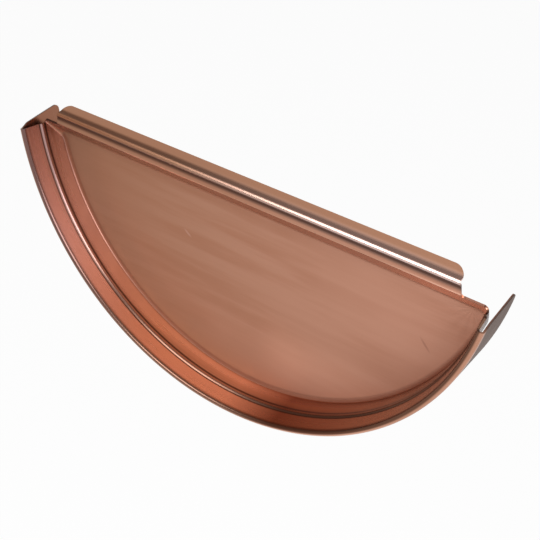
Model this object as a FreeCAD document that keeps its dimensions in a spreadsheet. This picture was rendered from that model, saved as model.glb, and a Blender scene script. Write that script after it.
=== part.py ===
"""Half-round gutter end cap: one copper sheet pressed into a D-shaped pan with a folded rim.

X runs along the straight top, Y from the outside face into the gutter, and Z up. The origin is the
centre of the gutter's end, where the gutter's own sheet stops in the fold of the rim.
"""

import FreeCAD, Part
import math
import os

import Sketcher
from FreeCAD import Vector

# Driving dimensions, lengths in millimetres and angles in degrees.
SIZES = {
    "sheet": (0.55, "thickness of the copper sheet"),
    "rim_radius": (78.0, "outside radius of the skirt, over the gutter"),
    "skirt_depth": (15.35, "seat of the gutter back to the skirt's rear edge"),
    "ear_drop_front": (11.2, "gutter axis down to the skirt's ends at the fold"),
    "ear_drop_rear": (8.3, "gutter axis down to the skirt's ends at the rear edge"),
    "ear_fillet": (1.8, "rounding of the skirt's rear corners"),
    "band_drop": (11.9, "gutter axis down to the ends of the fold and the band"),
    "fold_width": (1.9, "width of the fold at the front of the rim"),
    "channel": (1.9, "gap for the gutter's sheet, between the pan's wall and the skirt"),
    "ridge_depth": (6.2, "seat of the gutter back to the ridge round the wall"),
    "ridge_angle": (30.0, "turn of the ridge out of the wall"),
    "ridge_flat": (0.95, "flat between the ridge's two bends"),
    "floor_depth": (13.5, "seat of the gutter back to the pan's floor"),
    "floor_fillet": (2.2, "rounding inside the pan, round the floor and up the corners"),
    "foot_drop": (16.95, "gutter axis down to the foot of the brow on the floor"),
    "brow_angle": (43.6, "slope of the brow against the floor"),
    "brow_bend": (0.5, "inside radius of the bend from the brow to the ledge"),
    "brow_lap": (1.5, "brow carried by the straight top below the pan's mouth"),
    "ledge_depth": (6.3, "seat of the gutter back to the ledge above the brow"),
    "ledge_flat": (1.8, "flat of the ledge between its bends"),
    "bead_bend": (0.15, "inside radius of the bead's nose"),
    "bead_root": (0.3, "inside radius of the bead's two roots"),
    "bead_under": (45.0, "slope of the bead's underside against the ledge"),
    "bead_over": (95.0, "slope of the bead's top side against the ledge"),
    "bead_flat": (0.05, "flats beside the bead's nose"),
    "lip_lean": (52.0, "lean of the lip back from upright"),
    "lip_length": (3.4, "flat of the lip above the bead"),
    "lip_fillet": (2.8, "rounding of the lip's corners"),
    "notch_drop": (9.85, "gutter axis down to the floor of the corner notches"),
    "notch_width": (7.2, "pan's wall in to the ends of the straight top, at the notch floor"),
    "notch_taper": (12.0, "lean of the notch sides towards the middle"),
}


# Plane where the pan's drawn wall ends and the rim begins, measured back from the gutter's seat.
MOUTH = "(sizes.ledge_depth + sizes.sheet + sizes.brow_bend)"

# Radius of the pan's wall on the side that shows, and half the width of the straight top.
WALL = "(sizes.rim_radius - 2 * sizes.sheet - sizes.channel)"
REACH = f"({WALL} - sizes.notch_width)"

# Distance within which two positions count as the same.
NEAR = 1e-4


def size(name):
    """Value of one driving dimension."""
    return SIZES[name][0]


def mouth_depth():
    """Value of the depth of the pan's mouth."""
    return size("ledge_depth") + size("sheet") + size("brow_bend")


def wall_radius():
    """Value of the radius of the pan's wall on the side that shows."""
    return size("rim_radius") - 2 * size("sheet") - size("channel")


def make_sheet(doc):
    """Puts the driving dimensions into the document's spreadsheet."""
    sheet = doc.addObject("Spreadsheet::Sheet", "sizes")
    for row, (name, (value, meaning)) in enumerate(SIZES.items(), start=1):
        sheet.set(f"A{row}", name)
        sheet.set(f"B{row}", str(value))
        sheet.set(f"C{row}", meaning)
        sheet.setAlias(f"B{row}", name)
    doc.recompute()
    return sheet


def plane_of(body, role):
    """Origin plane of a body, found by its role."""
    return next(item for item in body.Origin.OriginFeatures if item.Role == role)


def add_sketch(body, name, role, setback=None):
    """Sketch on one of the body's origin planes, moved along the plane's normal by an expression."""
    sketch = body.newObject("Sketcher::SketchObject", name)
    sketch.AttachmentSupport = [(plane_of(body, role), "")]
    sketch.MapMode = "FlatFace"
    if setback:
        sketch.setExpression("AttachmentOffset.Base.z", setback)
    return sketch


def bind(sketch, kind, elements, value, expression):
    """Adds a dimension to a sketch, at its present value, and ties it to the spreadsheet."""
    index = sketch.addConstraint(Sketcher.Constraint(kind, *elements, value))
    sketch.setExpression(f"Constraints[{index}]", expression)


def place(sketch, element, point, across, up):
    """Ties a point of a sketch to two distances from the sketch's origin."""
    here = sketch.getPoint(element, point)
    bind(sketch, "DistanceX", (-1, 1, element, point), here.x, across)
    bind(sketch, "DistanceY", (-1, 1, element, point), here.y, up)


def polygon(sketch, corners, dimensions):
    """Closed run of straight lines, with every corner tied to its two distances."""
    points = [Vector(across, up, 0) for across, up in corners]
    first = len(sketch.Geometry)
    count = len(points)
    for i in range(count):
        sketch.addGeometry(Part.LineSegment(points[i], points[(i + 1) % count]), False)
    for i in range(count):
        following = first + (i + 1) % count
        sketch.addConstraint(Sketcher.Constraint("Coincident", first + i, 2, following, 1))
    for i, (across, up) in enumerate(dimensions):
        place(sketch, first + i, 1, across, up)


def heading(angle):
    """Unit vector of a direction in a sketch, in degrees from the sketch's first axis."""
    return Vector(math.cos(math.radians(angle)), math.sin(math.radians(angle)), 0)


class SheetFace:
    """One face of the folded sheet: straight runs joined by tangent bends or sharp corners."""

    def __init__(self, sketch, start, angle):
        self.sketch = sketch
        self.here = start
        self.angle = angle
        self.lines = []
        self.bends = []

    def run(self, length):
        """Draws a straight run and joins it to the bend or the corner before it."""
        end = self.here + heading(self.angle) * length
        line = self.sketch.addGeometry(Part.LineSegment(self.here, end), False)
        if self.bends and self.bends[-1]:
            self.join(self.bends[-1], line)
        elif self.lines:
            self.sketch.addConstraint(Sketcher.Constraint("Coincident", self.lines[-1], 2, line, 1))
        self.lines.append(line)
        self.here = end

    def corner(self, turn):
        """Turns at a sharp corner, to the left where the turn is positive."""
        self.bends.append(None)
        self.angle += turn

    def bend(self, turn, radius):
        """Draws a bend, to the left where the turn is positive, and joins it to the run before it."""
        side = math.copysign(1.0, turn)
        middle = self.here + heading(self.angle + side * 90) * radius
        first = self.angle - side * 90
        low, high = sorted((first, first + turn))
        circle = Part.Circle(middle, Vector(0, 0, 1), radius)
        arc = Part.ArcOfCircle(circle, math.radians(low), math.radians(high))
        index = self.sketch.addGeometry(arc, False)
        self.bends.append((index, turn > 0))
        self.join((self.lines[-1], True), index, turn > 0)
        self.here = middle + heading(first + turn) * radius
        self.angle += turn

    def join(self, before, after, forward=True):
        """Makes the end of one element tangent to the start of the next."""
        index, runs_forward = before
        last_point = 2 if runs_forward else 1
        first_point = 1 if forward else 2
        self.sketch.addConstraint(Sketcher.Constraint("Tangent", index, last_point, after, first_point))


def draw_folded(sketch, start, angle, runs, bends, back_side):
    """Closed outline of the folded sheet, from the face that shows and the same face set back.

    Runs are lengths, each with the expressions for its length and its direction, where it has them.
    Bends are turns in degrees, each with the name of its inside radius, or with none where the inside
    is a sharp corner. The back of the sheet lies to the left of the path where back_side is positive,
    and to its right where it is negative.
    """
    thickness = size("sheet")
    front = SheetFace(sketch, start, angle)
    back = SheetFace(sketch, start + heading(angle + 90 * back_side) * thickness, angle)
    for i, (length, _, _) in enumerate(runs):
        front.run(length)
        back.run(length)
        if i < len(bends):
            turn, inside = bends[i]
            wide, tight = (front, back) if turn * back_side > 0 else (back, front)
            bend_sheet(sketch, wide, tight, turn, inside)

    for line, (length, length_rule, angle_rule) in zip(front.lines, runs):
        if length_rule:
            bind(sketch, "Distance", (line,), length, length_rule)
        if angle_rule:
            edge = sketch.Geometry[line]
            along = edge.EndPoint - edge.StartPoint
            bind(sketch, "Angle", (line,), math.atan2(along.y, along.x), angle_rule)
    for end, point in ((0, 1), (-1, 2)):
        shown, hidden = front.lines[end], back.lines[end]
        corners = sketch.getPoint(shown, point), sketch.getPoint(hidden, point)
        cap = sketch.addGeometry(Part.LineSegment(*corners), False)
        sketch.addConstraint(Sketcher.Constraint("Coincident", shown, point, cap, 1))
        sketch.addConstraint(Sketcher.Constraint("Coincident", hidden, point, cap, 2))
        sketch.addConstraint(Sketcher.Constraint("Perpendicular", shown, cap))
        sketch.addConstraint(Sketcher.Constraint("Parallel", shown, hidden))
    return front, back


def bend_sheet(sketch, wide, tight, turn, inside):
    """Bends both faces of the sheet about one centre, the face on the outside of the turn by more."""
    thickness = size("sheet")
    if inside is None:
        wide.bend(turn, thickness)
        tight.corner(turn)
        centre = tight.lines[-1], 2
        wide_rule = "sizes.sheet"
    else:
        wide.bend(turn, size(inside) + thickness)
        tight.bend(turn, size(inside))
        arc, _ = tight.bends[-1]
        centre = arc, 3
        wide_rule = f"sizes.{inside} + sizes.sheet"
        bind(sketch, "Radius", (arc,), size(inside), f"sizes.{inside}")
    arc, _ = wide.bends[-1]
    sketch.addConstraint(Sketcher.Constraint("Coincident", arc, 3, *centre))
    bind(sketch, "Radius", (arc,), sketch.Geometry[arc].Radius, wide_rule)


def extrude(body, kind, name, sketch, expression=None, symmetric=False, reversed_way=False):
    """Pad or pocket of a sketch, through everything where it has no length."""
    feature = body.newObject(f"PartDesign::{kind}", name)
    feature.Profile = sketch
    feature.Reversed = reversed_way
    if symmetric:
        feature.SideType = "Symmetric"
    if expression:
        feature.setExpression("Length", expression)
    else:
        feature.Type = "ThroughAll"
    body.Document.recompute()
    return feature


def round_edges(body, name, expression, wanted):
    """Rounds the edges of the body that a test picks out."""
    base = body.Tip
    names = [f"Edge{i}" for i, edge in enumerate(base.Shape.Edges, start=1) if wanted(edge)]
    if not names:
        raise RuntimeError(f"{name}: no edge to round")
    fillet = body.newObject("PartDesign::Fillet", name)
    fillet.Base = (base, names)
    fillet.setExpression("Radius", expression)
    body.Document.recompute()
    return fillet


def brow_drop(depth):
    """Distance from the gutter's axis down to the brow at one depth, on the side that shows."""
    rise = (size("floor_depth") - depth) / math.tan(math.radians(size("brow_angle")))
    return size("foot_drop") - rise


def build_plug(doc, name, growth, growth_rule):
    """Solid that fills the pan, grown on every side: a half disc whose top slopes back as the brow does."""
    body = doc.addObject("PartDesign::Body", name)
    slope = math.radians(size("brow_angle"))
    mouth, floor = mouth_depth(), size("floor_depth") + growth
    foot = size("foot_drop") - growth * math.tan(slope / 2)
    top = foot - (floor - mouth) / math.tan(slope)
    radius = wall_radius() + growth
    half = math.sqrt(radius**2 - top**2)
    floor_rule = f"(sizes.floor_depth + {growth_rule})"
    foot_rule = f"(sizes.foot_drop - {growth_rule} * tan(sizes.brow_angle / 2 * 1 deg))"
    top_rule = f"({foot_rule} - ({floor_rule} - {MOUTH}) / tan(sizes.brow_angle * 1 deg))"

    outline = add_sketch(body, f"{name}_outline", "XZ_Plane", f"-{MOUTH}")
    ends = math.atan2(-top, -half), math.atan2(-top, half)
    circle = Part.Circle(Vector(0, 0, 0), Vector(0, 0, 1), radius)
    arc = outline.addGeometry(Part.ArcOfCircle(circle, *ends), False)
    chord = outline.addGeometry(Part.LineSegment(Vector(half, -top, 0), Vector(-half, -top, 0)), False)
    outline.addConstraint(Sketcher.Constraint("Coincident", arc, 3, -1, 1))
    outline.addConstraint(Sketcher.Constraint("Coincident", arc, 2, chord, 1))
    outline.addConstraint(Sketcher.Constraint("Coincident", chord, 2, arc, 1))
    outline.addConstraint(Sketcher.Constraint("Horizontal", chord))
    bind(outline, "Radius", (arc,), radius, f"{WALL} + {growth_rule}")
    bind(outline, "DistanceY", (chord, 1, -1, 1), top, top_rule)
    doc.recompute()
    extrude(body, "Pad", f"{name}_block", outline, f"{floor_rule} - {MOUTH}", reversed_way=True)
    whole = body.Shape.Volume

    sketch = add_sketch(body, f"{name}_slope", "YZ_Plane")
    polygon(
        sketch,
        [(mouth, -top), (floor, -foot), (floor, -top)],
        [(MOUTH, f"-{top_rule}"), (floor_rule, f"-{foot_rule}"), (floor_rule, f"-{top_rule}")],
    )
    doc.recompute()
    extrude(body, "Pocket", f"{name}_brow", sketch, symmetric=True)
    if body.Shape.Volume >= whole:
        raise RuntimeError(f"{name}: the brow cut nothing")
    round_edges(
        body,
        f"{name}_rounding",
        f"sizes.floor_fillet + {growth_rule}",
        lambda edge: edge.BoundBox.YMax > mouth + NEAR,
    )
    return body


def build_pan(doc):
    """The pan with its brow, and the ledge, bead and lip along the straight top."""
    hollow = build_plug(doc, "hollow", 0.0, "0")
    body = build_plug(doc, "pan", size("sheet"), "sizes.sheet")
    whole = body.Shape.Volume
    pressed = body.newObject("PartDesign::Boolean", "pressed_pan")
    pressed.Type = "Cut"
    pressed.setObjects([hollow])
    doc.recompute()
    if body.Shape.Volume >= whole:
        raise RuntimeError("the hollow cut nothing from the pan")
    build_straight_top(body)
    cut_notches(body)
    return body


def build_straight_top(body):
    """Ledge, bead and lip above the brow, folded from the same sheet."""
    mouth = mouth_depth()
    start_depth = mouth + size("brow_lap")
    start = Vector(start_depth, -brow_drop(start_depth), 0)
    slope = math.radians(size("brow_angle"))
    tangent = (size("brow_bend") + size("sheet")) * math.tan(slope / 2)
    brow_run = (start_depth - size("ledge_depth")) / math.sin(slope) - tangent
    section = add_sketch(body, "top_section", "YZ_Plane")
    face, _ = draw_folded(
        section,
        start,
        90 + size("brow_angle"),
        [
            (brow_run, None, "90 + sizes.brow_angle"),
            (size("ledge_flat"), "sizes.ledge_flat", "90"),
            (size("bead_flat"), "sizes.bead_flat", "90 + sizes.bead_under"),
            (size("bead_flat"), "sizes.bead_flat", "90 - sizes.bead_over"),
            (size("lip_length"), "sizes.lip_length", "90 - sizes.lip_lean"),
        ],
        [
            (-size("brow_angle"), "brow_bend"),
            (size("bead_under"), "bead_root"),
            (-size("bead_under") - size("bead_over"), "bead_bend"),
            (size("bead_over") - size("lip_lean"), "bead_root"),
        ],
        -1,
    )
    lap_depth = f"({MOUTH} + sizes.brow_lap)"
    lap_drop = f"sizes.foot_drop - (sizes.floor_depth - {lap_depth}) / tan(sizes.brow_angle * 1 deg)"
    place(section, face.lines[0], 1, lap_depth, f"-({lap_drop})")
    bind(section, "DistanceX", (-1, 1, face.lines[1], 1), size("ledge_depth"), "sizes.ledge_depth")
    body.Document.recompute()
    extrude(body, "Pad", "straight_top", section, f"2 * {REACH}", symmetric=True)


def cut_notches(body):
    """Notches between the straight top and the ends of the rim, and the lip's rounded corners."""
    doc = body.Document
    whole = body.Shape.Volume
    sketch = add_sketch(body, "notch_outline", "XZ_Plane")
    drop, far = size("notch_drop"), size("rim_radius")
    reach = wall_radius() - size("notch_width")
    inner = reach - (drop + far) * math.tan(math.radians(size("notch_taper")))
    rise_rule = "(sizes.notch_drop + sizes.rim_radius)"
    inner_rule = f"({REACH} - {rise_rule} * tan(sizes.notch_taper * 1 deg))"
    for side, sign in ((1, ""), (-1, "-")):
        polygon(
            sketch,
            [(side * reach, -drop), (side * far, -drop), (side * far, far), (side * inner, far)],
            [
                (f"{sign}{REACH}", "-sizes.notch_drop"),
                (f"{sign}sizes.rim_radius", "-sizes.notch_drop"),
                (f"{sign}sizes.rim_radius", "sizes.rim_radius"),
                (f"{sign}{inner_rule}", "sizes.rim_radius"),
            ],
        )
    doc.recompute()
    extrude(body, "Pocket", "notches", sketch, symmetric=True)
    if body.Shape.Volume >= whole:
        raise RuntimeError("the notches cut nothing")

    lean = math.radians(size("lip_lean"))
    up_lip = Vector(0, math.sin(lean), math.cos(lean))
    tip = max(vertex.Point.dot(up_lip) for vertex in body.Shape.Vertexes)

    def at_lip_corner(edge):
        ends = [vertex.Point.dot(up_lip) for vertex in edge.Vertexes]
        return edge.Length < 2 * size("sheet") and min(ends) > tip - NEAR

    round_edges(body, "lip_corners", "min(sizes.lip_fillet; 0.95 * sizes.lip_length)", at_lip_corner)


def build_rim(doc):
    """The rim round the arc: the skirt with its ears, and the ridge, flared band and fold before it."""
    body = doc.addObject("PartDesign::Body", "rim")
    build_skirt(body)
    section = add_sketch(body, "rim_section", "YZ_Plane")
    mouth, ridge, turn = mouth_depth(), size("ridge_depth"), size("ridge_angle")
    wall, thickness, rim = wall_radius(), size("sheet"), size("rim_radius")
    valley = Vector(ridge, -wall - thickness, 0) + heading(90 + turn) * thickness
    valley += heading(180 + turn) * size("ridge_flat")
    gap = size("fold_width") - 2 * thickness
    inner_corner = Vector(0, thickness + gap - rim, 0)
    span = valley - inner_corner
    flare = math.degrees(math.atan2(span.y, span.x) - math.asin(thickness / span.Length))
    face, back = draw_folded(
        section,
        Vector(mouth, -wall, 0),
        180,
        [
            (mouth - ridge, None, None),
            (size("ridge_flat"), "sizes.ridge_flat", "sizes.ridge_angle - 180"),
            (math.sqrt(span.Length**2 - thickness**2), None, None),
            (gap, None, "270"),
            (thickness, "sizes.sheet", "0"),
        ],
        [(turn, None), (flare - turn, None), (90 - flare, None), (90, None)],
        1,
    )
    drawn_wall, stub = face.lines[0], face.lines[-1]
    place(section, drawn_wall, 1, MOUTH, f"-{WALL}")
    section.addConstraint(Sketcher.Constraint("Horizontal", drawn_wall))
    bind(section, "DistanceX", (-1, 1, drawn_wall, 2), ridge, "sizes.ridge_depth")
    bind(section, "Distance", (back.lines[3],), gap, "sizes.fold_width - 2 * sizes.sheet")
    place(section, stub, 2, "sizes.sheet", "-sizes.rim_radius")
    doc.recompute()
    revolve(body, "turned_rim", section, "180 deg - 2 * asin(sizes.band_drop / sizes.rim_radius)")
    return body


def build_skirt(body):
    """Skirt over the gutter, cut at both ends along a line that rises to the rear, with rounded corners."""
    depth, rim, thickness = size("skirt_depth"), size("rim_radius"), size("sheet")
    section = add_sketch(body, "skirt_section", "YZ_Plane")
    polygon(
        section,
        [(0, -rim), (depth, -rim), (depth, thickness - rim), (0, thickness - rim)],
        [
            ("0", "-sizes.rim_radius"),
            ("sizes.skirt_depth", "-sizes.rim_radius"),
            ("sizes.skirt_depth", "sizes.sheet - sizes.rim_radius"),
            ("0", "sizes.sheet - sizes.rim_radius"),
        ],
    )
    body.Document.recompute()
    revolve(body, "turned_skirt", section, "180 deg")
    whole = body.Shape.Volume

    front, rear = size("ear_drop_front"), size("ear_drop_rear")
    outline = add_sketch(body, "ear_outline", "YZ_Plane")
    polygon(
        outline,
        [(-depth, rear - 2 * front), (2 * depth, front - 2 * rear), (2 * depth, rim), (-depth, rim)],
        [
            ("-sizes.skirt_depth", "sizes.ear_drop_rear - 2 * sizes.ear_drop_front"),
            ("2 * sizes.skirt_depth", "sizes.ear_drop_front - 2 * sizes.ear_drop_rear"),
            ("2 * sizes.skirt_depth", "sizes.rim_radius"),
            ("-sizes.skirt_depth", "sizes.rim_radius"),
        ],
    )
    body.Document.recompute()
    extrude(body, "Pocket", "ears", outline, symmetric=True)
    if body.Shape.Volume >= whole:
        raise RuntimeError("the ears cut nothing")

    def at_rear_corner(edge):
        return edge.Length < 2 * thickness and edge.BoundBox.YMin > depth - NEAR

    round_edges(body, "ear_corners", "sizes.ear_fillet", at_rear_corner)


def revolve(body, name, sketch, angle):
    """Turns a section about the gutter's axis, to both sides of the lowest point."""
    turned = body.newObject("PartDesign::Revolution", name)
    turned.Profile = sketch
    turned.ReferenceAxis = (sketch, ["H_Axis"])
    turned.Midplane = True
    turned.setExpression("Angle", angle)
    body.Document.recompute()
    return turned


def check(doc, cap):
    """Stops the build where a feature failed or the sheet isn't one sound solid."""
    failed = [item.Name for item in doc.Objects if {"Invalid", "Error"} & set(item.State)]
    if failed:
        raise RuntimeError(f"failed: {', '.join(failed)}")
    if cap.Shape.isNull() or not cap.Shape.isValid() or len(cap.Shape.Solids) != 1:
        raise RuntimeError("the cap isn't one valid solid")


def main():
    doc = FreeCAD.newDocument("gutter_end_cap")
    make_sheet(doc)
    cap = doc.addObject("Part::Fuse", "cap")
    cap.Label = "end_cap"
    cap.Base = build_pan(doc)
    cap.Tool = build_rim(doc)
    cap.Refine = True
    doc.recompute()
    check(doc, cap)
    box = cap.Shape.optimalBoundingBox()
    print(f"{cap.Label}: {cap.Shape.Volume:.1f} mm3, {len(cap.Shape.Faces)} faces, {box}")
    os.makedirs("parts", exist_ok=True)
    cap.Shape.exportStep(f"parts/{cap.Label}.step")


main()
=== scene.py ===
"""Bare copper end cap of a half-round roof gutter, on a plain pale stage.

One sheet is pressed into a D-shaped pan. Round the arc its wall steps out at a ridge, flares into a
band and folds back into the skirt. Along the straight top the brow runs up into a ledge, a pinched
bead and a lip that leans back.
"""

import math
from functools import reduce

import bmesh
import bpy
from bpy.props import FloatProperty, FloatVectorProperty, PointerProperty
from mathutils import Matrix, Vector


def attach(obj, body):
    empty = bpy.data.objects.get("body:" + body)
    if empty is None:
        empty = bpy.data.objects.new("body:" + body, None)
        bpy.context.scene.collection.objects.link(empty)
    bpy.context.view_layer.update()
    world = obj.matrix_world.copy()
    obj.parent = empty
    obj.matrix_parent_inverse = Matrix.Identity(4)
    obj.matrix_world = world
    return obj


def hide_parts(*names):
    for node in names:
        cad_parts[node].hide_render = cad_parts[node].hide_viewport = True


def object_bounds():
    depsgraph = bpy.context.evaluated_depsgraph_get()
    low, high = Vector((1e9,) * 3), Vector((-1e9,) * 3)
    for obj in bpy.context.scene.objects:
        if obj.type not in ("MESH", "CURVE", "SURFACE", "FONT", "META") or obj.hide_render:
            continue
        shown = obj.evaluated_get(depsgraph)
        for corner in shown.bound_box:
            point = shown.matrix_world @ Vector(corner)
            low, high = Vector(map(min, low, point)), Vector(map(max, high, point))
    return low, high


bl_info = {
    "name": "Gutter End Cap",
    "version": (1, 0, 0),
    "blender": (4, 5, 0),
    "location": "View3D > Sidebar > End Cap",
    "description": "Builds a copper end cap for a half-round gutter, with its finish and its stage",
    "category": "Add Mesh",
}

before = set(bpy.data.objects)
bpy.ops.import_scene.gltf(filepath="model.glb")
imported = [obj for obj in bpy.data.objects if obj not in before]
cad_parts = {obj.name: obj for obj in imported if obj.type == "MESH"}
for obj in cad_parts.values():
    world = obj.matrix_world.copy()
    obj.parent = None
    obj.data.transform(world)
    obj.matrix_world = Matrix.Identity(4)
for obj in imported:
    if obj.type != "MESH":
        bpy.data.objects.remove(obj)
CAD_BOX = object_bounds()

AXIS = Vector((0, 1, 0))
MERGE_DISTANCE = 1e-6

# Steps along the arc, along the straight top, round the pan's corners, round a tight bend, down the
# floor's rounding, down a straight wall, up the band, across the ledge and along a short flat.
ARC_STEPS = 168
TOP_STEPS = 72
CORNER_STEPS = 10
BEND_STEPS = 8
FLOOR_STEPS = 12
WALL_STEPS = 6
BAND_STEPS = 4
LEDGE_STEPS = 3
FLAT_STEPS = 2

# Edges that turn by more than this stay sharp.
SHARP_ANGLE = math.radians(35)

# Soft steps of the finish, from where there is none of it to where it is full: lengths up the cap,
# back from the gutter's seat, outwards from an edge or along X, turns from the arc's lowest point,
# and levels of noise.
STEPS = {
    "lip": (-0.0055, -0.0048),
    "brow_top": (-0.0085, -0.0095),
    "cut_edge": (-0.0108, -0.0104),
    "low_floor": (-0.045, -0.062),
    "nose": (0.0012, 0.0),
    "over_gutter": (0.0, 0.002),
    "ridge_shade": (0.0095, 0.0066),
    "ridge_shade_end": (0.0057, 0.0063),
    "channel": (0.006, 0.0066),
    "brow_foot": (-0.0006, -0.0016),
    "foot": (-0.0016, -0.0004),
    "by_wall": (-0.016, -0.002),
    "inside": (0.0012, 0.001),
    "notch": (0.0, 0.0004),
    "notch_wall": (0.0006, 0.0002),
    "before_skirt": (-0.0006, -0.0012),
    "skirt": (-0.0012, -0.0006),
    "brow_end": (0.04, 0.066),
    "waves": (0.024, 0.008),
    "olive_turn": (0.3, -0.3),
    "low_turn": (0.05, 0.35),
    "ridge_turn": (-0.85, -0.6),
    "cloud_patch": (0.35, 0.7),
    "streak_patch": (0.35, 0.65),
    "rim_streak": (0.45, 0.8),
    "scratch": (1.0, 0.2),
}

# Soft bands of the finish, as centre and half width.
BANDS = {
    "bead": (-0.0063, 0.0020),
    "ledge_crease": (-0.0072, 0.0014),
    "lip_crease": (-0.0052, 0.0005),
    "ridge": (0.0057, 0.0009),
    "wall_crease": (0.0070, 0.0009),
    "band_crease": (0.0053, 0.0004),
    "foot": (-0.0004, 0.0012),
    "channel": (0.0, 0.0004),
}

# Share of each colour or relief where it is full. The brow, by_wall, low_floor, nose, lip, foot, lip_crease,
# ridge_shade, creases, skirt and outside shares lay painted light and shade.
SHARES = {
    "patches": 0.3,
    "brow": 0.35,
    "by_wall": 0.4,
    "low_floor": 0.3,
    "rim_streaks": 0.5,
    "nose": 0.8,
    "lip": 0.9,
    "foot": 0.9,
    "bright_scratch": 0.2,
    "dark_scratch": 0.35,
    "lip_crease": 0.65,
    "ridge_shade": 0.35,
    "creases": 0.95,
    "skirt": 0.7,
    "outside": 0.9,
    "waves": 0.22,
    "grain": 0.12,
}

# Share of the ridge's painted dark line of shade at the rim's left end, and from low on its left side
# onwards.
RIDGE_SHARES = (0.35, 0.8)

# Where the colours of the sheet and the bead lie along X, and those of the rim round the arc; these runs are
# partly painted highlight, reflection and shade.
SHEET_PLACES = (-0.06, 0.06)
BEAD_PLACES = (-0.055, -0.02, 0.04)
RIM_TURNS = (-0.95, -0.4, 0.05, 0.3, 0.95)

# Grains to the metre along each axis, and detail.
NOISES = {
    "cloud": ((26, 26, 40), 2.0),
    "streak": ((20, 40, 240), 4.0),
    "rim_streak": ((14, 420, 260), 3.0),
    "grain": ((120, 300, 900), 2.0),
}

# Scratches on the floor: centre, turn, half length and half width.
BRIGHT_SCRATCH = ((-0.0214, 0.0135, -0.0324), 0.6, 0.0022, 0.0006)
DARK_SCRATCH = ((0.0587, 0.0135, -0.0330), 0.8, 0.0032, 0.0005)

# How far the streaks change the roughness, and how much rougher the skirt's outside is.
UNEVEN_ROUGHNESS = 0.16
OUTSIDE_ROUGHNESS = 0.35

# Strength and depth of the relief, and the waves' corner in X and Z, their count and their sway.
RELIEF_STRENGTH = 0.12
RELIEF_DEPTH = 0.0006
WAVE_CORNER = (0.069, -0.0165)
WAVE_COUNT = 16.0
WAVE_SWAY = 9.0

# Half the floor's width, and the share of plain white in what is seen of it.
FLOOR_HALF_WIDTH = 40.0
FLOOR_WHITE = 0.93

# Lamps: name, place, width, height and level beside the white of the surroundings.
LAMPS = (
    ("front_lamp", (-0.22, -0.67, 0.55), 0.5, 0.5, 4.6),
    ("right_lamp", (0.60, -0.35, 0.40), 0.75, 0.5, 4.2),
)

# Camera: place, its right and up directions, lens and sensor in millimetres, and nearest and
# farthest distance seen.
CAMERA_PLACE = Vector((0.1257, -0.15725, 0.1062))
CAMERA_RIGHT = Vector((0.8014, 0.5952, 0.0593))
CAMERA_UP = Vector((-0.3715, 0.4176, 0.8292))
CAMERA_LENS = 58.87
CAMERA_SENSOR = 36.0
CAMERA_REACH = (0.01, 20.0)


def length(name, description, default):
    """A length of the cap, in metres."""
    return FloatProperty(name=name, description=description, default=default, unit="LENGTH", precision=5)


def angle(name, description, degrees):
    """An angle of the cap."""
    return FloatProperty(name=name, description=description, default=math.radians(degrees), subtype="ANGLE")


def colour(name, description, default):
    """A colour of the finish."""
    return FloatVectorProperty(
        name=name, description=description, default=default, subtype="COLOR", size=3, min=0, max=1
    )


def share(name, description, default):
    """A share from none to all."""
    return FloatProperty(name=name, description=description, default=default, min=0, max=1, subtype="FACTOR")


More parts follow.
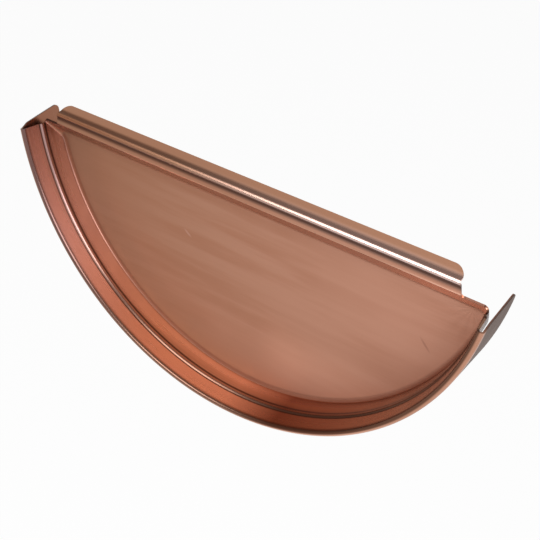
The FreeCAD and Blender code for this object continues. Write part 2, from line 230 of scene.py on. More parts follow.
class CapSizes(bpy.types.PropertyGroup):
    """Sizes of the pressed sheet."""

    sheet: length("Sheet", "Thickness of the copper sheet", 0.00055)
    rim_radius: length("Rim radius", "Outside radius of the skirt", 0.078)
    channel: length("Channel", "Gap for the gutter's sheet between the wall and the skirt", 0.0019)
    skirt_depth: length("Skirt depth", "Seat of the gutter back to the skirt's rear edge", 0.01535)
    ear_drop_front: length("Ear drop, front", "Axis down to the skirt's ends at the fold", 0.0112)
    ear_drop_rear: length("Ear drop, rear", "Axis down to the skirt's ends at the rear edge", 0.00835)
    ear_rounding: length("Ear rounding", "Rounding of the skirt's rear corners", 0.0018)
    band_drop: length("Band drop", "Axis down to the ends of the fold and the band", 0.0119)
    fold_width: length("Fold width", "Width of the fold at the front of the rim", 0.0019)
    ridge_depth: length("Ridge depth", "Seat of the gutter back to the ridge round the wall", 0.0062)
    ridge_turn: angle("Ridge turn", "Turn of the ridge out of the wall", 45)
    ridge_flat: length("Ridge flat", "Flat between the ridge's two bends", 0.00032)
    ridge_bend: length("Ridge bend", "Inside radius of the ridge's bends", 0.0002)
    floor_depth: length("Floor depth", "Seat of the gutter back to the pan's floor", 0.0135)
    floor_rounding: length("Floor rounding", "Rounding round the pan's floor", 0.0011)
    corner_rounding: length("Corner rounding", "Rounding of the pan's two corners at the floor", 0.0026)
    foot_drop: length("Foot drop", "Axis down to the foot of the brow on the floor", 0.01605)
    brow_slope: angle("Brow slope", "Slope of the brow against the floor", 47.23)
    brow_bend: length("Brow bend", "Inside radius of the bend from the brow to the ledge", 0.0005)
    ledge_depth: length("Ledge depth", "Seat of the gutter back to the ledge", 0.0063)
    ledge_flat: length("Ledge flat", "Flat of the ledge between its bends", 0.0018051)
    bead_bend: length("Bead bend", "Inside radius of the bends beside the bead's face", 0.0001)
    bead_root: length("Bead root", "Inside radius of the bend from the ledge to the bead", 0.0005)
    bead_crease: length("Bead crease", "Inside radius of the bend from the bead to the lip", 0.0012)
    bead_under: angle("Bead underside", "Slope of the bead's underside against the ledge", 45)
    bead_over: angle("Bead top", "Slope of the bead's top side against the ledge", 95)
    bead_flat: length("Bead flat", "Flats between the bead's bends and its root and crease", 0.00005)
    bead_face: length("Bead face", "Flat face of the bead", 0.0003)
    bead_lean: angle("Bead lean", "Lean of the bead's face back from the ledge", 32)
    lip_lean: angle("Lip lean", "Lean of the lip back from upright", 52)
    lip_length: length("Lip length", "Flat of the lip above the bead", 0.0025207)
    lip_rounding: length("Lip rounding", "Rounding of the lip's corners", 0.0028)
    notch_drop: length("Notch drop", "Axis down to the floor of the corner notches", 0.00985)
    notch_width: length("Notch width", "Wall in to the ends of the straight top", 0.0072)
    notch_taper: angle("Notch taper", "Lean of the notch sides towards the middle", 12)


class CapFinish(bpy.types.PropertyGroup):
    """Finish of the copper."""

    copper: colour("Copper", "Satin copper of the sheet", (0.62, 0.335, 0.238))
    # Painted reflection in part: the rim's pink left end stands in for light the metal reflects there.
    pink: colour("Pink copper", "Cleaner copper at the rim's left end", (0.74, 0.46, 0.43))
    # The bright copper's own tone in part; painted light low on the rim's left, low on the floor and at the
    # brow's right end.
    bright: colour("Bright copper", "Brightest copper, above all low on the rim's left", (0.97, 0.54, 0.39))
    # Painted highlight on the bead towards its right end; also the colour of the pale scratch.
    pale: colour("Pale copper", "Rubbed copper on the bead, towards the right end", (0.85, 0.62, 0.56))
    # Painted shade in part: red-brown low on the rim's right side, on the floor's rounding by the wall and
    # on the skirt; also the dark scratch's colour.
    brown: colour("Brown copper", "Red-brown copper, low on the rim's right side", (0.27, 0.1, 0.06))
    # Browner towards the sheet's left end; also painted shade on the lip and in the middle of the bead, and
    # the rim's tone at its right end.
    browner: colour("Aged copper", "Browner copper towards the left end", (0.43, 0.228, 0.142))
    # Painted shade on the floor beside the wall's left side.
    olive: colour("Olive copper", "Duller copper beside the wall's left side", (0.36, 0.25, 0.17))
    # Orange-brown: tarnished streaks of the copper's own, painted reflection on the brow and painted shade
    # at the bead's left end.
    tarnish_and_painted_light: colour("Tarnish", "Orange-brown of the tarnished streaks", (0.40, 0.165, 0.085))
    # Painted shade: the skirt's dark grey outside stands in for a darker reflection there.
    dull: colour("Dull copper", "Greyed copper of the skirt's outside", (0.15, 0.115, 0.1))
    # Painted shade: dark brown laid into the creases, over the ridge's highlight and on the fold's nose.
    crease_shade: colour("Crease", "Dark brown in the creases", (0.07, 0.026, 0.016))
    satin: share("Satin", "Roughness of the rolled sheet on the flat floor", 0.68)
    pressed: share("Pressed", "Roughness of the sheet where it is pressed and folded", 0.27)


class StageSettings(bpy.types.PropertyGroup):
    """Floor and light."""

    floor_colour: colour("Floor", "Pale floor", (1.0, 1.0, 1.0))
    floor_drop: length("Floor drop", "Cap's lowest point down to the floor", 0.35)
    world_level: FloatProperty(
        name="World", description="Level of the light from all round", default=0.45, min=0
    )


def wall_radius(sizes):
    """Radius of the pan's wall on the side that shows."""
    return sizes.rim_radius - 2 * sizes.sheet - sizes.channel


def mouth_depth(sizes):
    """Depth of the plane where the pan, the rim and the straight top meet."""
    return sizes.ledge_depth + sizes.sheet + sizes.brow_bend


def reach(sizes):
    """Half the width of the straight top at the notch floor."""
    return wall_radius(sizes) - sizes.notch_width


def band_end(sizes):
    """Angle from the lowest point of the arc to the ends of the band."""
    return math.pi / 2 - math.asin(sizes.band_drop / sizes.rim_radius)


class Path:
    """A line of edges drawn ahead from its tip: straight runs and bends in one plane."""

    def __init__(self, bm, start, across, up, heading):
        self.bm = bm
        self.across, self.up = Vector(across), Vector(up)
        self.turning = self.across.cross(self.up)
        self.heading = heading
        self.tip = bm.verts.new(start)

    def ahead(self, turn=0.0):
        """Direction of the tip, turned to the left by an angle."""
        towards = self.heading + turn
        return self.across * math.cos(towards) + self.up * math.sin(towards)

    def sweep(self, **motion):
        """Draws the line on by sweeping its tip."""
        made = bmesh.ops.spin(self.bm, geom=[self.tip], axis=self.turning, **motion)
        self.tip = next(item for item in made["geom_last"] if isinstance(item, bmesh.types.BMVert))

    def run(self, distance, steps=1):
        """Straight on, in even steps."""
        step = self.ahead() * (distance / steps)
        self.sweep(cent=self.tip.co, dvec=step, angle=0, steps=steps)

    def run_to(self, distances):
        """Straight on, with a vertex at each distance."""
        start, way = self.tip.co.copy(), self.ahead()
        for distance in distances:
            made = bmesh.ops.extrude_vert_indiv(self.bm, verts=[self.tip])
            self.tip = made["verts"][0]
            bmesh.ops.translate(self.bm, vec=start + way * distance - self.tip.co, verts=[self.tip])

    def bend(self, turn, radius, steps):
        """Round a bend, to the left where the turn is positive."""
        centre = self.tip.co + self.ahead(math.copysign(math.pi / 2, turn)) * radius
        self.sweep(cent=centre, angle=turn, steps=steps)
        self.heading += turn

    def drawn(self):
        """Vertices and edges of the whole line, from its tip back, in the same order each time."""
        verts, edges, left = {self.tip: True}, {}, [self.tip]
        while left:
            for edge in left.pop().link_edges:
                edges[edge] = True
                for vert in edge.verts:
                    if vert not in verts:
                        verts[vert] = True
                        left.append(vert)
        return list(verts), list(edges)

    def close(self):
        """Joins the tip to the start, where the line has come round to it."""
        bmesh.ops.remove_doubles(self.bm, verts=self.bm.verts[:], dist=MERGE_DISTANCE)


def quarter_round(steps):
    """Shares of a quarter round's radius, closer together towards its end."""
    return [math.sin(math.pi / 2 * i / steps) for i in range(1, steps + 1)]


def brow_drop(sizes, depth):
    """Axis down to the brow at one depth, on its slope or on the rounding at its foot."""
    slope, rounding = sizes.brow_slope, sizes.floor_rounding
    floor_edge = sizes.foot_drop + rounding * math.tan(slope / 2)
    above_centre = depth - (sizes.floor_depth - rounding)
    if above_centre > rounding * math.cos(slope):
        return floor_edge - math.sqrt(max(rounding**2 - above_centre**2, 0.0))
    return sizes.foot_drop - (sizes.floor_depth - depth) / math.tan(slope)


def wall_at(sizes, depth):
    """Radius of the pan's wall at one depth, upright or on the rounding at its foot."""
    rounding = sizes.floor_rounding
    below = max(depth - (sizes.floor_depth - rounding), 0.0)
    return wall_radius(sizes) - rounding + math.sqrt(max(rounding**2 - below**2, 0.0))


def corner_at(sizes, depth):
    """Rounding of the pan's corners: just past the band's ends at the mouth, fuller at the floor."""
    mouth = mouth_depth(sizes)
    rise = sizes.band_drop / sizes.rim_radius
    tight = (rise * wall_radius(sizes) - brow_drop(sizes, mouth)) / (1 + rise)
    return tight + (sizes.corner_rounding - tight) * (depth - mouth) / (sizes.floor_depth - mouth)


def join(bm, piece):
    """Joins a piece drawn by itself to the sheet, and gives its edges there."""
    mesh = bpy.data.meshes.new("piece")
    piece.to_mesh(mesh)
    piece.free()
    before = len(bm.edges)
    bm.from_mesh(mesh)
    bpy.data.meshes.remove(mesh)
    bm.edges.ensure_lookup_table()
    return bm.edges[before:]


def settle(bm):
    """Puts edges and faces in the order of their vertices: sweeping or thickening leaves any order."""
    bm.verts.index_update()
    count = len(bm.verts)

    def rank(item):
        lowest = sorted(vert.index for vert in item.verts)[:3]
        return reduce(lambda rank, index: rank * count + index, lowest)

    bm.edges.sort(key=rank)
    bm.faces.sort(key=rank)


def draw_ring(bm, sizes, depth):
    """Outline of the pan at one depth: the straight brow, two corners and the arc."""
    radius, drop, corner = wall_at(sizes, depth), brow_drop(sizes, depth), corner_at(sizes, depth)
    turn = math.pi / 2 + math.asin((drop + corner) / (radius - corner))
    half = math.sqrt((radius - corner) ** 2 - (drop + corner) ** 2)
    mouth = mouth_depth(sizes)
    mouth_corner = corner_at(sizes, mouth)
    mouth_drop = brow_drop(sizes, mouth) + mouth_corner
    mouth_half = math.sqrt((wall_radius(sizes) - mouth_corner) ** 2 - mouth_drop**2)
    inner = half * reach(sizes) / mouth_half
    ring = bmesh.new()
    path = Path(ring, (-half, depth, -drop), (1, 0, 0), (0, 0, 1), 0.0)
    path.run(half - inner)
    path.run(2 * inner, TOP_STEPS)
    path.run(half - inner)
    path.bend(-turn, corner, CORNER_STEPS)
    path.bend(2 * turn - 2 * math.pi, radius, ARC_STEPS)
    path.bend(-turn, corner, CORNER_STEPS)
    path.close()
    return join(bm, ring)


def press_pan(bm, sizes):
    """Presses the pan: wall, brow, corners and rounding down to the flat floor."""
    mouth, foot = mouth_depth(sizes), sizes.floor_depth - sizes.floor_rounding
    depths = [mouth + (foot - mouth) * i / WALL_STEPS for i in range(WALL_STEPS + 1)]
    depths += [foot + sizes.floor_rounding * step for step in quarter_round(FLOOR_STEPS)]
    ring = draw_ring(bm, sizes, depths[0])
    for depth in depths[1:]:
        deeper = draw_ring(bm, sizes, depth)
        bmesh.ops.bridge_loops(bm, edges=ring + deeper)
        ring = deeper
    floor = bmesh.ops.contextual_create(bm, geom=ring)["faces"]
    bmesh.ops.inset_region(bm, faces=floor, thickness=sizes.floor_rounding / 2)


def fold_rim(bm, sizes):
    """Folds the rim's section and turns it round the arc: ridge, flared band, fold and skirt."""
    mouth, sheet = mouth_depth(sizes), sizes.sheet
    path = Path(bm, (0, mouth, -wall_radius(sizes)), (0, 1, 0), (0, 0, 1), math.pi)
    path.run(mouth - sizes.ridge_depth)
    path.bend(sizes.ridge_turn, sizes.ridge_bend + sheet, BEND_STEPS)
    path.run(sizes.ridge_flat)
    nose = sizes.fold_width / 2
    nose_centre = Vector((0, nose - sheet, nose - sizes.rim_radius))
    valley = path.tip.co + path.ahead(-math.pi / 2) * sizes.ridge_bend
    between = nose_centre - valley
    spread = nose + sizes.ridge_bend
    towards = math.atan2(between.z, between.y) % (2 * math.pi) - math.asin(spread / between.length)
    path.bend(towards - path.heading, sizes.ridge_bend, BEND_STEPS)
    path.run(math.sqrt(between.length_squared - spread**2), BAND_STEPS)
    path.bend(2 * math.pi - path.heading, nose, 2 * BEND_STEPS)
    straight = sizes.skirt_depth - sizes.ear_rounding - path.tip.co.y
    path.run(straight, WALL_STEPS)
    path.run_to([sizes.ear_rounding * step for step in quarter_round(BEND_STEPS)])

    end = band_end(sizes)
    verts, edges = path.drawn()
    bmesh.ops.rotate(bm, cent=(0, 0, 0), matrix=Matrix.Rotation(end, 3, AXIS), verts=verts)
    bmesh.ops.spin(bm, geom=verts + edges, cent=(0, 0, 0), axis=-AXIS, angle=2 * end, steps=ARC_STEPS)
    for vert in path.drawn()[0]:
        distance = math.hypot(vert.co.x, vert.co.z)
        if distance > sizes.rim_radius - MERGE_DISTANCE and vert.co.y > nose:
            turn = math.atan2(vert.co.x, -vert.co.z)
            wider = turn * ear_end(sizes, vert.co.y) / end
            vert.co.x, vert.co.z = distance * math.sin(wider), -distance * math.cos(wider)


def ear_end(sizes, depth):
    """Angle from the lowest point of the arc to the skirt's ends at one depth."""
    along = min(depth / sizes.skirt_depth, 1.0)
    drop = sizes.ear_drop_front + (sizes.ear_drop_rear - sizes.ear_drop_front) * along
    beyond = max(depth - (sizes.skirt_depth - sizes.ear_rounding), 0.0)
    drop += sizes.ear_rounding - math.sqrt(max(sizes.ear_rounding**2 - beyond**2, 0.0))
    return math.pi / 2 - math.asin(drop / sizes.rim_radius)


def fold_top(bm, sizes):
    """Folds the straight top's section and draws it along the brow: ledge, bead and lip."""
    mouth, sheet, half = mouth_depth(sizes), sizes.sheet, reach(sizes)
    start = (-half, mouth, -brow_drop(sizes, mouth))
    path = Path(bm, start, (0, 1, 0), (0, 0, 1), math.pi / 2 + sizes.brow_slope)
    brow_radius = sizes.brow_bend + sheet
    rise = (mouth - sizes.ledge_depth) / math.sin(sizes.brow_slope)
    path.run(rise - brow_radius * math.tan(sizes.brow_slope / 2), FLAT_STEPS)
    path.bend(-sizes.brow_slope, brow_radius, BEND_STEPS)
    path.run(sizes.ledge_flat, LEDGE_STEPS)
    path.bend(sizes.bead_under, sizes.bead_root, BEND_STEPS)
    path.run(sizes.bead_flat)
    path.bend(-sizes.bead_under - sizes.bead_lean, sizes.bead_bend + sheet, BEND_STEPS)
    path.run(sizes.bead_face, FLAT_STEPS)
    path.bend(sizes.bead_lean - sizes.bead_over, sizes.bead_bend + sheet, BEND_STEPS)
    path.run(sizes.bead_flat)
    path.bend(sizes.bead_over - sizes.lip_lean, sizes.bead_crease, BEND_STEPS)
    foot, way = path.tip.co.copy(), path.ahead()
    straight = sizes.lip_length - sizes.lip_rounding
    path.run_to([sizes.lip_length * step for step in quarter_round(BEND_STEPS)])

    verts, edges = path.drawn()
    step = Vector((2 * half / TOP_STEPS, 0, 0))
    bmesh.ops.spin(
        bm, geom=verts + edges, cent=(0, 0, 0), axis=(1, 0, 0), dvec=step, angle=0, steps=TOP_STEPS
    )
    for vert in path.drawn()[0]:
        trim = max(vert.co.z + sizes.notch_drop, 0.0) * math.tan(sizes.notch_taper)
        along = (vert.co - foot).dot(way) - straight
        if along > 0 and vert.co.z > foot.z:
            trim += sizes.lip_rounding
            trim -= math.sqrt(max(sizes.lip_rounding**2 - along**2, 0.0))
        vert.co.x *= 1 - trim / half


def make_cap_mesh(sizes):
    """The cap's showing face as one surface, given the sheet's thickness to its back."""
    bm = bmesh.new()
    for form in (press_pan, fold_rim, fold_top):
        piece = bmesh.new()
        form(piece, sizes)
        settle(piece)
        join(bm, piece)
    bmesh.ops.remove_doubles(bm, verts=bm.verts[:], dist=MERGE_DISTANCE)
    bmesh.ops.recalc_face_normals(bm, faces=bm.faces[:])
    bm.normal_update()
    floor = max(bm.faces, key=lambda face: face.calc_area())
    if floor.normal.y > 0:
        bmesh.ops.reverse_faces(bm, faces=bm.faces[:])
    bmesh.ops.solidify(bm, geom=bm.faces[:], thickness=sizes.sheet)
    settle(bm)
    for face in bm.faces:
        face.smooth = True
    mesh = bpy.data.meshes.new("end_cap_sheet")
    bm.to_mesh(mesh)
    bm.free()
    mesh.set_sharp_from_angle(angle=SHARP_ANGLE)
    return mesh


class Nodes:
    """Builds a material's nodes from left to right."""

    def __init__(self, tree):
        self.tree = tree
        tree.nodes.clear()

    def add(self, kind, inputs=None, **settings):
        """A node with its settings, and its inputs given as values or as other nodes' outputs."""
        node = self.tree.nodes.new(kind)
        for name, value in settings.items():
            setattr(node, name, value)
        for name, value in (inputs or {}).items():
            if isinstance(value, bpy.types.NodeSocket):
                self.tree.links.new(value, node.inputs[name])
            else:
                node.inputs[name].default_value = value
        return node

    def math(self, operation, first, second=0.0):
        """Two numbers put together."""
        return self.add("ShaderNodeMath", {0: first, 1: second}, operation=operation).outputs[0]

    def product(self, *values):
        """Numbers multiplied together."""
        return reduce(lambda first, second: self.math("MULTIPLY", first, second), values)

    def most(self, *values):
        """The largest of several numbers."""
        return reduce(lambda first, second: self.math("MAXIMUM", first, second), values)

    def vector(self, operation, first, second):
        """Two vectors put together."""
        return self.add("ShaderNodeVectorMath", {0: first, 1: second}, operation=operation).outputs[0]

    def distance(self, vector):
        """Length of a vector."""
        return self.add("ShaderNodeVectorMath", {0: vector}, operation="LENGTH").outputs["Value"]

    def ramp(self, value, low, high, to_low=0.0, to_high=1.0):
        """A soft step from one level to another."""
        inputs = {"Value": value, "From Min": low, "From Max": high, "To Min": to_low, "To Max": to_high}
        return self.add("ShaderNodeMapRange", inputs, interpolation_type="SMOOTHSTEP").outputs["Result"]

    def band(self, value, centre, half):
        """A soft band: all at its centre, none at half its width from there."""
        away = self.math("ABSOLUTE", self.math("SUBTRACT", value, centre))
        return self.ramp(away, half, 0.0)

    def noise(self, place, stretch, detail):
        """Noise at one place, with as many grains to the metre along each axis as the stretch says."""
        spread = self.vector("MULTIPLY", place, stretch)
        inputs = {"Vector": spread, "Scale": 1.0, "Detail": detail}
        return self.add("ShaderNodeTexNoise", inputs).outputs["Fac"]

    def colours(self, value, places, shades):
        """Colours that run into each other, each at its own place."""
        low, high = places[0], places[-1]
        inputs = {"Value": value, "From Min": low, "From Max": high}
        along = self.add("ShaderNodeMapRange", inputs).outputs["Result"]
        node = self.add("ShaderNodeValToRGB", {"Fac": along})
        elements = node.color_ramp.elements
        for at, shade in zip(places[1:-1], shades[1:-1]):
            elements.new((at - low) / (high - low)).color = (*shade, 1)
        elements[0].color, elements[-1].color = (*shades[0], 1), (*shades[-1], 1)
        return node.outputs["Color"]

    def blend(self, share, first, second):
        """One colour or the other, by a share."""
        inputs = {"Factor": share, "A": first, "B": second}
        return self.add("ShaderNodeMix", inputs, data_type="RGBA").outputs["Result"]

    def paint(self, under, over, *shares):
        """A plain colour laid over what is under it, by shares multiplied together."""
        return self.blend(self.product(*shares), under, (*over, 1))


class CopperNodes(Nodes):
    """Nodes of the satin rolled copper, with the places on the cap where its finish changes."""

    def __init__(self, tree, finish, sizes):
        super().__init__(tree)
        self.finish, self.sizes, self.wall = finish, sizes, wall_radius(sizes)
        self.place = self.add("ShaderNodeTexCoord").outputs["Object"]
        along = self.add("ShaderNodeSeparateXYZ", {0: self.place}).outputs
        self.x, self.y, self.z = along["X"], along["Y"], along["Z"]
        self.radius = self.distance(self.vector("MULTIPLY", self.place, (1, 0, 1)))
        self.turn = self.math("ARCTAN2", self.x, self.math("MULTIPLY", self.z, -1.0))

        self.on_rim = self.ramp(self.radius, self.wall - sizes.floor_rounding / 4, self.wall)
        self.on_bead = self.stripe("bead", self.z)
        self.on_brow = self.product(
            self.step("brow_foot", self.y, sizes.floor_depth), self.step("brow_top", self.z)
        )
        self.over_gutter = self.step("over_gutter", self.y)
        beyond = self.math("GREATER_THAN", self.radius, sizes.rim_radius - sizes.sheet / 2)
        self.outside = self.product(beyond, self.over_gutter)

        arc = self.math("MULTIPLY", self.turn, sizes.rim_radius)
        round_place = self.add("ShaderNodeCombineXYZ", {0: arc, 1: self.y, 2: self.radius}).outputs[0]
        self.cloud = self.noise(self.place, *NOISES["cloud"])
        self.streak = self.noise(self.place, *NOISES["streak"])
        self.rim_streak = self.noise(round_place, *NOISES["rim_streak"])
        self.grain = self.noise(self.place, *NOISES["grain"])

    def step(self, name, value, edge=0.0):
        """One of the finish's soft steps, measured from an edge."""
        none, full = STEPS[name]
        return self.ramp(value, edge + none, edge + full)

    def stripe(self, name, value, edge=0.0):
        """One of the finish's soft bands, measured from an edge."""
        centre, half = BANDS[name]
        return self.band(value, edge + centre, half)

    def scratch(self, centre, turn, half_length, half_width):
        """A small soft scratch on the floor, turned in its plane."""
        inputs = {
            "Vector": self.place,
            "Location": centre,
            "Rotation": (0, turn, 0),
            "Scale": (half_length, 1, half_width),
        }
        inner = self.add("ShaderNodeMapping", inputs, vector_type="TEXTURE").outputs[0]
        return self.step("scratch", self.distance(inner))

    def sheet_colour(self):
        """Rolled sheet of the floor and the brow, with tarnished patches, painted light, reflection and
        shade.
        """
        finish = self.finish
        patches = self.product(self.step("cloud_patch", self.cloud), self.step("streak_patch", self.streak))
        by_wall = self.product(
            self.step("by_wall", self.radius, self.wall), self.step("olive_turn", self.turn)
        )
        low = self.product(self.step("low_floor", self.z), self.step("low_turn", self.turn))
        # Darker and browner towards the left end.
        shade = self.colours(self.x, SHEET_PLACES, (finish.browner, finish.copper))
        shade = self.paint(shade, finish.tarnish_and_painted_light, patches, SHARES["patches"])
        # Painted reflection: the brow is tinted orange-brown.
        shade = self.paint(shade, finish.tarnish_and_painted_light, self.on_brow, SHARES["brow"])
        # Painted shade on the floor beside the wall's left side.
        shade = self.paint(shade, finish.olive, by_wall, SHARES["by_wall"])
        # Painted light: the floor is lightened low down, right of the arc's lowest point.
        return self.paint(shade, finish.bright, low, SHARES["low_floor"])

    def rim_colour(self):
        """Rim round the arc: tones that are partly painted reflection and shade, its streaks, and painted
        dark lines of shade on the ridge and the fold.
        """
        finish = self.finish
        # Pink, bright and brown round the arc: partly the copper's own tone, partly painted reflection and
        # shade.
        shades = (finish.pink, finish.bright, finish.bright, finish.brown, finish.browner)
        shade = self.colours(self.turn, RIM_TURNS, shades)
        streaks = self.step("rim_streak", self.rim_streak)
        shade = self.paint(shade, finish.tarnish_and_painted_light, streaks, SHARES["rim_streaks"])
        # Painted shade: the ridge's highlight and the fold's nose are darkened, more so from low on the
        # left.
        ridge_level = self.ramp(self.turn, *STEPS["ridge_turn"], *RIDGE_SHARES)
        ridge = self.product(self.stripe("ridge", self.y), ridge_level)
        nose = self.product(self.step("nose", self.y), SHARES["nose"])
        return self.paint(shade, finish.crease_shade, self.most(ridge, nose))

    def creases(self):
        """Painted shade: dark creases beside the bead, beside the ridge, on the notches' cut edges and in
        the channel.
        """
        sizes, wall = self.sizes, self.wall
        lip = self.product(self.stripe("lip_crease", self.z), SHARES["lip_crease"])
        shade = self.product(
            self.step("ridge_shade", self.y), self.step("ridge_shade_end", self.y), SHARES["ridge_shade"]
        )
        by_ridge = self.most(self.stripe("wall_crease", self.y), self.stripe("band_crease", self.y), shade)
        inside = self.product(self.on_rim, self.step("inside", self.radius, wall))
        cut = self.product(
            self.step("cut_edge", self.z),
            self.step("notch", self.math("ABSOLUTE", self.x), reach(sizes)),
            self.step("notch_wall", self.radius, wall),
        )
        channel = self.product(
            self.stripe("channel", self.radius, wall + sizes.sheet), self.step("channel", self.y)
        )
        ledge = self.stripe("ledge_crease", self.z)
        return self.most(ledge, lip, self.product(by_ridge, inside), cut, channel)

    def colour(self):
        """All the colours of the cap laid over each other, painted light and shade among them."""
        finish, sizes = self.finish, self.sizes
        before_skirt = self.step("before_skirt", self.radius, sizes.rim_radius)
        shade = self.blend(self.product(self.on_rim, before_skirt), self.sheet_colour(), self.rim_colour())
        # Painted shade on the lip.
        shade = self.paint(shade, finish.browner, self.step("lip", self.z), SHARES["lip"])
        # Painted highlight on the bead: pale towards its right end, fading into painted shade at its left
        # end.
        bead = self.colours(self.x, BEAD_PLACES, (finish.tarnish_and_painted_light, finish.browner, finish.pale))
        shade = self.blend(self.on_bead, shade, bead)
        # Painted shade on the floor's rounding at the foot of the wall.
        foot = self.product(
            self.stripe("foot", self.radius, self.wall), self.step("foot", self.y, sizes.floor_depth)
        )
        shade = self.paint(shade, finish.brown, foot, SHARES["foot"])
        shade = self.paint(shade, finish.pale, self.scratch(*BRIGHT_SCRATCH), SHARES["bright_scratch"])
        shade = self.paint(shade, finish.brown, self.scratch(*DARK_SCRATCH), SHARES["dark_scratch"])
        # Painted light: the brow is lightened towards its right end, off the rim.
        off_rim = self.ramp(self.on_rim, 1.0, 0.0)
        brow_end = self.product(self.on_brow, self.step("brow_end", self.x), off_rim)
        shade = self.paint(shade, finish.bright, brow_end)
        # Painted shade in the creases, the channel and on the notches' cut edges.
        shade = self.paint(shade, finish.crease_shade, self.creases(), SHARES["creases"])
        # Painted shade laid over the skirt.
        skirt = self.product(self.step("skirt", self.radius, sizes.rim_radius), self.over_gutter)
        shade = self.paint(shade, finish.brown, skirt, SHARES["skirt"])
        # Painted shade on the skirt's outside, in place of a darker reflection.
        return self.paint(shade, finish.dull, self.outside, SHARES["outside"])

    def roughness(self):
        """Satin on the flat sheet, smoother where it is pressed, uneven along the streaks."""
        pressed = self.most(self.on_rim, self.on_bead, self.on_brow)
        level = self.ramp(pressed, 0.0, 1.0, self.finish.satin, self.finish.pressed)
        round_rim = self.product(self.on_rim, self.math("SUBTRACT", self.rim_streak, self.streak))
        streaks = self.math("SUBTRACT", self.math("ADD", self.streak, round_rim), 0.5)
        level = self.math("ADD", level, self.product(streaks, UNEVEN_ROUGHNESS))
        return self.math("ADD", level, self.product(self.outside, OUTSIDE_ROUGHNESS))

    def relief(self):
        """Fine grain off the rim, soft dents, and waves that fan out from the pan's right corner."""
        corner_x, corner_z = WAVE_CORNER
        corner = (corner_x, self.sizes.floor_depth, corner_z)
        from_corner = self.vector("SUBTRACT", self.place, corner)
        sides = self.add("ShaderNodeSeparateXYZ", {0: from_corner}).outputs
        fan = self.math("ARCTAN2", sides["Z"], sides["X"])
        sway = self.math("ADD", self.product(fan, WAVE_COUNT), self.product(self.cloud, WAVE_SWAY))
        near_corner = self.step("waves", self.distance(from_corner))
        waves = self.product(self.math("SINE", sway), near_corner, SHARES["waves"])
        grain = self.product(self.grain, self.ramp(self.on_rim, 0.0, 1.0, SHARES["grain"], 0.0))
        height = self.math("ADD", grain, self.math("ADD", self.cloud, waves))
        inputs = {"Height": height, "Strength": RELIEF_STRENGTH, "Distance": RELIEF_DEPTH}
        return self.add("ShaderNodeBump", inputs).outputs["Normal"]


def make_copper(finish, sizes):
    """Satin rolled copper: streaks along the sheet, tarnished patches, painted light and shade, and a
    smoother face where it is pressed.
    """
    material = bpy.data.materials.new("satin_copper")
    material.use_nodes = True
    nodes = CopperNodes(material.node_tree, finish, sizes)
    inputs = {
        "Base Color": nodes.colour(),
        "Metallic": 1.0,
        "Roughness": nodes.roughness(),
        "Normal": nodes.relief(),
    }
    shader = nodes.add("ShaderNodeBsdfPrincipled", inputs)
    nodes.add("ShaderNodeOutputMaterial", {"Surface": shader.outputs["BSDF"]})
    return material


class ENDCAP_OT_cap(bpy.types.Operator):
    """Build the pressed copper sheet"""

    bl_idname = "endcap.build_cap"
    bl_label = "Build Cap"

    def execute(self, context):
        mesh = make_cap_mesh(context.scene.endcap_sizes)
        if len(mesh.polygons) < ARC_STEPS:
            raise RuntimeError("the cap's surface isn't complete")
        mesh.materials.append(make_copper(context.scene.endcap_finish, context.scene.endcap_sizes))
        cap = bpy.data.objects.new("copper_end_cap", mesh)
        context.scene.collection.objects.link(cap)
        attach(cap, "root")
        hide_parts("end_cap")
        return {"FINISHED"}


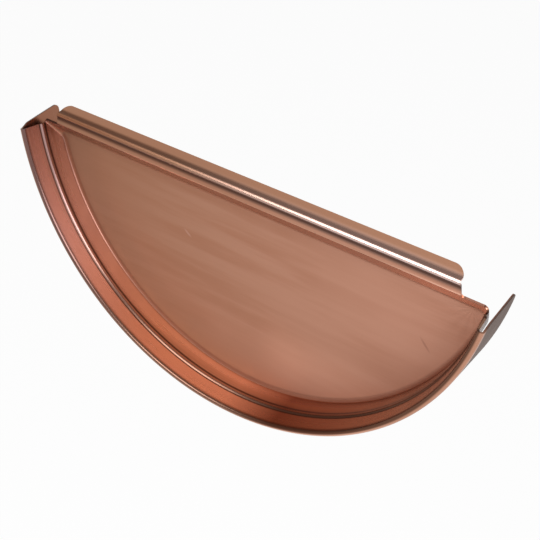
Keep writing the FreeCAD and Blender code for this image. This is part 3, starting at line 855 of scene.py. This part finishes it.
class ENDCAP_OT_stage(bpy.types.Operator):
    """Set the pale floor, the soft light and the camera"""

    bl_idname = "endcap.build_stage"
    bl_label = "Build Stage"

    def execute(self, context):
        scene = context.scene
        settings = scene.endcap_stage
        self.add_floor(scene, settings)
        self.add_world(scene, settings)
        self.add_lamps(scene)
        self.add_camera(scene)
        scene.view_settings.view_transform = "Standard"
        return {"FINISHED"}

    def add_floor(self, scene, settings):
        """Pale floor below the cap."""
        bm = bmesh.new()
        bmesh.ops.create_grid(bm, x_segments=1, y_segments=1, size=FLOOR_HALF_WIDTH)
        low = CAD_BOX[0].z - settings.floor_drop
        bmesh.ops.translate(bm, vec=(0, 0, low), verts=bm.verts[:])
        mesh = bpy.data.meshes.new("floor")
        bm.to_mesh(mesh)
        bm.free()
        floor = bpy.data.objects.new("floor", mesh)
        scene.collection.objects.link(floor)
        material = bpy.data.materials.new("pale_floor")
        material.use_nodes = True
        nodes = Nodes(material.node_tree)
        rays = nodes.add("ShaderNodeLightPath").outputs
        seen = nodes.most(rays["Is Camera Ray"], rays["Is Glossy Ray"], rays["Is Transmission Ray"])
        matt = nodes.add("ShaderNodeBsdfDiffuse", {"Color": (*settings.floor_colour, 1)})
        plain = nodes.add("ShaderNodeEmission", {"Color": (*settings.floor_colour, 1), "Strength": 1.0})
        white = nodes.product(seen, FLOOR_WHITE)
        mixed = nodes.add("ShaderNodeMixShader", {0: white, 1: matt.outputs[0], 2: plain.outputs[0]})
        nodes.add("ShaderNodeOutputMaterial", {"Surface": mixed.outputs[0]})
        mesh.materials.append(material)

    def add_world(self, scene, settings):
        """Plain light from all round."""
        world = bpy.data.worlds.new("studio")
        scene.world = world
        world.use_nodes = True
        nodes = Nodes(world.node_tree)
        camera = nodes.add("ShaderNodeLightPath").outputs["Is Camera Ray"]
        level = nodes.ramp(camera, 0.0, 1.0, settings.world_level, 1.0)
        light = nodes.add("ShaderNodeBackground", {"Color": (1, 1, 1, 1), "Strength": level})
        nodes.add("ShaderNodeOutputWorld", {"Surface": light.outputs[0]})

    def add_lamps(self, scene):
        """Soft lamps, each at a level beside the white of the surroundings."""
        target = (CAD_BOX[0] + CAD_BOX[1]) / 2
        for name, place, wide, tall, level in LAMPS:
            lamp = bpy.data.lights.new(name, "AREA")
            lamp.shape = "RECTANGLE"
            lamp.size, lamp.size_y = wide, tall
            lamp.energy = level * math.pi * wide * tall
            holder = bpy.data.objects.new(name, lamp)
            holder.location = place
            holder.rotation_mode = "QUATERNION"
            holder.rotation_quaternion = (target - Vector(place)).to_track_quat("-Z", "Y")
            scene.collection.objects.link(holder)

    def add_camera(self, scene):
        """Camera above, in front and to the right."""
        data = bpy.data.cameras.new("camera")
        data.sensor_width, data.lens = CAMERA_SENSOR, CAMERA_LENS
        data.clip_start, data.clip_end = CAMERA_REACH
        camera = bpy.data.objects.new("camera", data)
        back = CAMERA_RIGHT.cross(CAMERA_UP)
        turned = Matrix((CAMERA_RIGHT, CAMERA_UP, back)).transposed().to_quaternion()
        camera.matrix_world = Matrix.LocRotScale(CAMERA_PLACE, turned, None)
        scene.collection.objects.link(camera)
        scene.camera = camera


class ENDCAP_PT_panel(bpy.types.Panel):
    """Sizes, finish and stage of the end cap"""

    bl_idname = "ENDCAP_PT_panel"
    bl_label = "Gutter End Cap"
    bl_space_type = "VIEW_3D"
    bl_region_type = "UI"
    bl_category = "End Cap"

    def draw(self, context):
        layout = self.layout
        for settings, operator in (
            (context.scene.endcap_sizes, ENDCAP_OT_cap.bl_idname),
            (context.scene.endcap_finish, None),
            (context.scene.endcap_stage, ENDCAP_OT_stage.bl_idname),
        ):
            column = layout.column(align=True)
            for name in settings.bl_rna.properties.keys():
                if name not in {"rna_type", "name"}:
                    column.prop(settings, name)
            if operator:
                layout.operator(operator)


CLASSES = (CapSizes, CapFinish, StageSettings, ENDCAP_OT_cap, ENDCAP_OT_stage, ENDCAP_PT_panel)


def register():
    for cls in CLASSES:
        bpy.utils.register_class(cls)
    bpy.types.Scene.endcap_sizes = PointerProperty(type=CapSizes)
    bpy.types.Scene.endcap_finish = PointerProperty(type=CapFinish)
    bpy.types.Scene.endcap_stage = PointerProperty(type=StageSettings)


def unregister():
    del bpy.types.Scene.endcap_stage
    del bpy.types.Scene.endcap_finish
    del bpy.types.Scene.endcap_sizes
    for cls in reversed(CLASSES):
        bpy.utils.unregister_class(cls)


def main():
    register()
    bpy.ops.endcap.build_cap()
    bpy.ops.endcap.build_stage()


if __name__ == "__main__":
    main()
